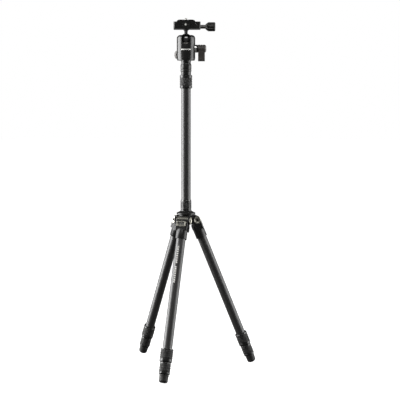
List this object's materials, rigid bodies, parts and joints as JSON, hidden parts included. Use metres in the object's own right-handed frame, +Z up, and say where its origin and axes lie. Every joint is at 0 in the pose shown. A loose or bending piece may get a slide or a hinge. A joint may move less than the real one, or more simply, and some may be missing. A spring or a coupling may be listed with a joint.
{
  "type": "tripod with ball head",
  "caption": "Travel tripod with telescoping legs and column, twist locks, and a ball head that carries a quick-release clamp and camera plate.",
  "frame": {"origin": "point on the floor under the centre column's axis", "axes": "+Z up the centre column; -Y is the side of the head's drop notch; +X is the side of the clamp knob"},
  "size_m": [0.2869, 0.2953, 0.8231],
  "materials": {
    "satin_black_aluminium": "satin black anodised",
    "rubber": "matt ribbed rubber",
    "steel": "plain steel",
    "bright_metal": "bright turned",
    "champagne_metal": "warm silver anodised",
    "dark_fastener": "blackened",
    "grey_plastic": "dark warm grey",
    "nylon": "natural nylon",
    "vial_glass": "clear",
    "carbon_tube": "carbon fibre under clear lacquer",
    "leg_casting_black": "black powder coat",
    "lock_black": "black"
  },
  "bodies": {
    "hub": {"hub_spider": "champagne_metal", "hub_flange": "satin_black_aluminium", "hub_collet": "nylon", "pivot_bolts": "dark_fastener"},
    "front_leg": {"front_leg_casting": "leg_casting_black", "front_leg_top_tube": "carbon_tube"},
    "front_leg_latch": {"front_leg_latch": "champagne_metal"},
    "front_leg_upper_lock": {"front_leg_upper_lock": "lock_black", "front_leg_upper_lock_grip": "rubber"},
    "front_leg_middle": {"front_leg_middle_tube": "carbon_tube"},
    "front_leg_lower_lock": {"front_leg_lower_lock": "lock_black", "front_leg_lower_lock_grip": "rubber"},
    "front_leg_bottom": {"front_leg_bottom_tube": "carbon_tube", "front_leg_foot": "rubber"},
    "right_leg": {"right_leg_casting": "leg_casting_black", "right_leg_top_tube": "carbon_tube"},
    "right_leg_latch": {"right_leg_latch": "champagne_metal"},
    "right_leg_upper_lock": {"right_leg_upper_lock": "lock_black", "right_leg_upper_lock_grip": "rubber"},
    "right_leg_middle": {"right_leg_middle_tube": "carbon_tube"},
    "right_leg_lower_lock": {"right_leg_lower_lock": "lock_black", "right_leg_lower_lock_grip": "rubber"},
    "right_leg_bottom": {"right_leg_bottom_tube": "carbon_tube", "right_leg_foot": "rubber"},
    "left_leg": {"left_leg_casting": "leg_casting_black", "left_leg_top_tube": "carbon_tube"},
    "left_leg_latch": {"left_leg_latch": "champagne_metal"},
    "left_leg_upper_lock": {"left_leg_upper_lock": "lock_black", "left_leg_upper_lock_grip": "rubber"},
    "left_leg_middle": {"left_leg_middle_tube": "carbon_tube"},
    "left_leg_lower_lock": {"left_leg_lower_lock": "lock_black", "left_leg_lower_lock_grip": "rubber"},
    "left_leg_bottom": {"left_leg_bottom_tube": "carbon_tube", "left_leg_foot": "rubber"},
    "column": {"column_lower_tube": "carbon_tube", "column_end_plug": "rubber"},
    "hub_lock": {"hub_lock": "satin_black_aluminium"},
    "column_lock": {"column_lock": "satin_black_aluminium", "column_lock_grip": "rubber"},
    "upper_column": {"column_upper_tube": "carbon_tube", "column_platform": "satin_black_aluminium", "head_stud": "steel", "pan_base": "satin_black_aluminium"},
    "head": {"head_housing": "satin_black_aluminium", "ball_seat": "nylon", "lock_collar": "bright_metal"},
    "lock_lever": {"lock_lever": "grey_plastic", "lock_shaft": "steel"},
    "pan_knob": {"pan_knob": "grey_plastic"},
    "ball": {"ball_stem": "satin_black_aluminium", "stem_screw": "steel"},
    "clamp": {"clamp_body": "satin_black_aluminium", "level_vial": "vial_glass"},
    "jaw": {"clamp_jaw": "satin_black_aluminium", "jaw_guide_pins": "steel"},
    "clamp_knob": {"clamp_knob": "satin_black_aluminium", "clamp_screw": "steel"},
    "plate": {"camera_plate": "satin_black_aluminium", "plate_pads": "rubber"},
    "camera_screw": {"camera_screw": "steel"}
  },
  "joints": [
    {"name": "front_leg_fold", "type": "hinge", "parent": "hub", "child": "front_leg", "pos_m": [-0.00722, -0.02184, 0.3532], "axis": [-0.9494, 0.314, 0], "range_deg": [-13, 60]},
    {"name": "front_leg_latch_push", "type": "slide", "parent": "front_leg", "child": "front_leg_latch", "axis": [0.2907, 0.879, -0.3778], "range_m": [0, 0.0025], "stiffness_N_per_m": 400, "springref_m": -0.0015},
    {"name": "front_leg_upper_lock_twist", "type": "hinge", "parent": "front_leg", "child": "front_leg_upper_lock", "pos_m": [-0.00664, -0.02008, 0.35244], "axis": [-0.1186, -0.3587, -0.9259], "range_deg": [0, 120]},
    {"name": "front_leg_middle_slide", "type": "slide", "parent": "front_leg", "child": "front_leg_middle", "axis": [-0.1186, -0.3587, -0.9259], "range_m": [0, 0.24]},
    {"name": "front_leg_lower_lock_twist", "type": "hinge", "parent": "front_leg_middle", "child": "front_leg_lower_lock", "pos_m": [-0.00664, -0.02008, 0.35244], "axis": [-0.1186, -0.3587, -0.9259], "range_deg": [0, 120]},
    {"name": "front_leg_bottom_slide", "type": "slide", "parent": "front_leg_middle", "child": "front_leg_bottom", "axis": [-0.1186, -0.3587, -0.9259], "range_m": [0, 0.24]},
    {"name": "right_leg_fold", "type": "hinge", "parent": "hub", "child": "right_leg", "pos_m": [0.02252, 0.00466, 0.3532], "axis": [0.2028, -0.9792, 0], "range_deg": [-13, 60]},
    {"name": "right_leg_latch_push", "type": "slide", "parent": "right_leg", "child": "right_leg_latch", "axis": [-0.9066, -0.1878, -0.3778], "range_m": [0, 0.0025], "stiffness_N_per_m": 400, "springref_m": -0.0015},
    {"name": "right_leg_upper_lock_twist", "type": "hinge", "parent": "right_leg", "child": "right_leg_upper_lock", "pos_m": [0.02071, 0.00429, 0.35244], "axis": [0.37, 0.0766, -0.9259], "range_deg": [0, 120]},
    {"name": "right_leg_middle_slide", "type": "slide", "parent": "right_leg", "child": "right_leg_middle", "axis": [0.37, 0.0766, -0.9259], "range_m": [0, 0.24]},
    {"name": "right_leg_lower_lock_twist", "type": "hinge", "parent": "right_leg_middle", "child": "right_leg_lower_lock", "pos_m": [0.02071, 0.00429, 0.35244], "axis": [0.37, 0.0766, -0.9259], "range_deg": [0, 120]},
    {"name": "right_leg_bottom_slide", "type": "slide", "parent": "right_leg_middle", "child": "right_leg_bottom", "axis": [0.37, 0.0766, -0.9259], "range_m": [0, 0.24]},
    {"name": "left_leg_fold", "type": "hinge", "parent": "hub", "child": "left_leg", "pos_m": [-0.0153, 0.01717, 0.3532], "axis": [0.7466, 0.6652, 0], "range_deg": [-13, 60]},
    {"name": "left_leg_latch_push", "type": "slide", "parent": "left_leg", "child": "left_leg_latch", "axis": [0.6159, -0.6913, -0.3778], "range_m": [0, 0.0025], "stiffness_N_per_m": 400, "springref_m": -0.0015},
    {"name": "left_leg_upper_lock_twist", "type": "hinge", "parent": "left_leg", "child": "left_leg_upper_lock", "pos_m": [-0.01407, 0.01579, 0.35244], "axis": [-0.2514, 0.2821, -0.9259], "range_deg": [0, 120]},
    {"name": "left_leg_middle_slide", "type": "slide", "parent": "left_leg", "child": "left_leg_middle", "axis": [-0.2514, 0.2821, -0.9259], "range_m": [0, 0.24]},
    {"name": "left_leg_lower_lock_twist", "type": "hinge", "parent": "left_leg_middle", "child": "left_leg_lower_lock", "pos_m": [-0.01407, 0.01579, 0.35244], "axis": [-0.2514, 0.2821, -0.9259], "range_deg": [0, 120]},
    {"name": "left_leg_bottom_slide", "type": "slide", "parent": "left_leg_middle", "child": "left_leg_bottom", "axis": [-0.2514, 0.2821, -0.9259], "range_m": [0, 0.24]},
    {"name": "column_slide", "type": "slide", "parent": "hub", "child": "column", "axis": [0, 0, 1], "range_m": [-0.255, 0]},
    {"name": "hub_lock_twist", "type": "hinge", "parent": "hub", "child": "hub_lock", "pos_m": [0, 0, 0.387], "axis": [0, 0, 1], "range_deg": [0, 120]},
    {"name": "column_lock_twist", "type": "hinge", "parent": "column", "child": "column_lock", "pos_m": [0, 0, 0.677], "axis": [0, 0, 1], "range_deg": [0, 120]},
    {"name": "upper_column_slide", "type": "slide", "parent": "column", "child": "upper_column", "axis": [0, 0, 1], "range_m": [0, 0.23]},
    {"name": "head_pan", "type": "hinge", "parent": "upper_column", "child": "head", "pos_m": [0, 0, 0.726], "axis": [0, 0, 1], "range_deg": [-180, 180]},
    {"name": "lock_lever_turn", "type": "hinge", "parent": "head", "child": "lock_lever", "pos_m": [0.03, 0, 0.7531], "axis": [1, 0, 0], "range_deg": [0, 270]},
    {"name": "pan_knob_turn", "type": "hinge", "parent": "head", "child": "pan_knob", "pos_m": [-0.01768, 0.01768, 0.7395], "axis": [-0.7071, 0.7071, 0], "range_deg": [0, 360]},
    {"name": "ball_tilt", "type": "hinge", "parent": "head", "child": "ball", "pos_m": [0, 0, 0.774], "axis": [-1, 0, 0], "range_deg": [-90, 25]},
    {"name": "clamp_swivel", "type": "hinge", "parent": "ball", "child": "clamp", "pos_m": [0, 0, 0.8], "axis": [0, 0, 1], "range_deg": [-180, 180]},
    {"name": "jaw_slide", "type": "slide", "parent": "clamp", "child": "jaw", "axis": [1, 0, 0], "range_m": [0, 0.005]},
    {"name": "clamp_knob_turn", "type": "hinge", "parent": "jaw", "child": "clamp_knob", "pos_m": [0.05, 0, 0.8035], "axis": [1, 0, 0], "range_deg": [0, 1440]},
    {"name": "plate_slide", "type": "slide", "parent": "clamp", "child": "plate", "axis": [0, 1, 0], "range_m": [0, 0.03]},
    {"name": "camera_screw_turn", "type": "hinge", "parent": "plate", "child": "camera_screw", "pos_m": [0, 0, 0.8186], "axis": [0, 0, 1], "continuous": true}
  ],
  "couplings": [
    {"joint": "clamp_knob_turn", "follows": "jaw_slide", "rad_per_m": 5000}
  ]
}
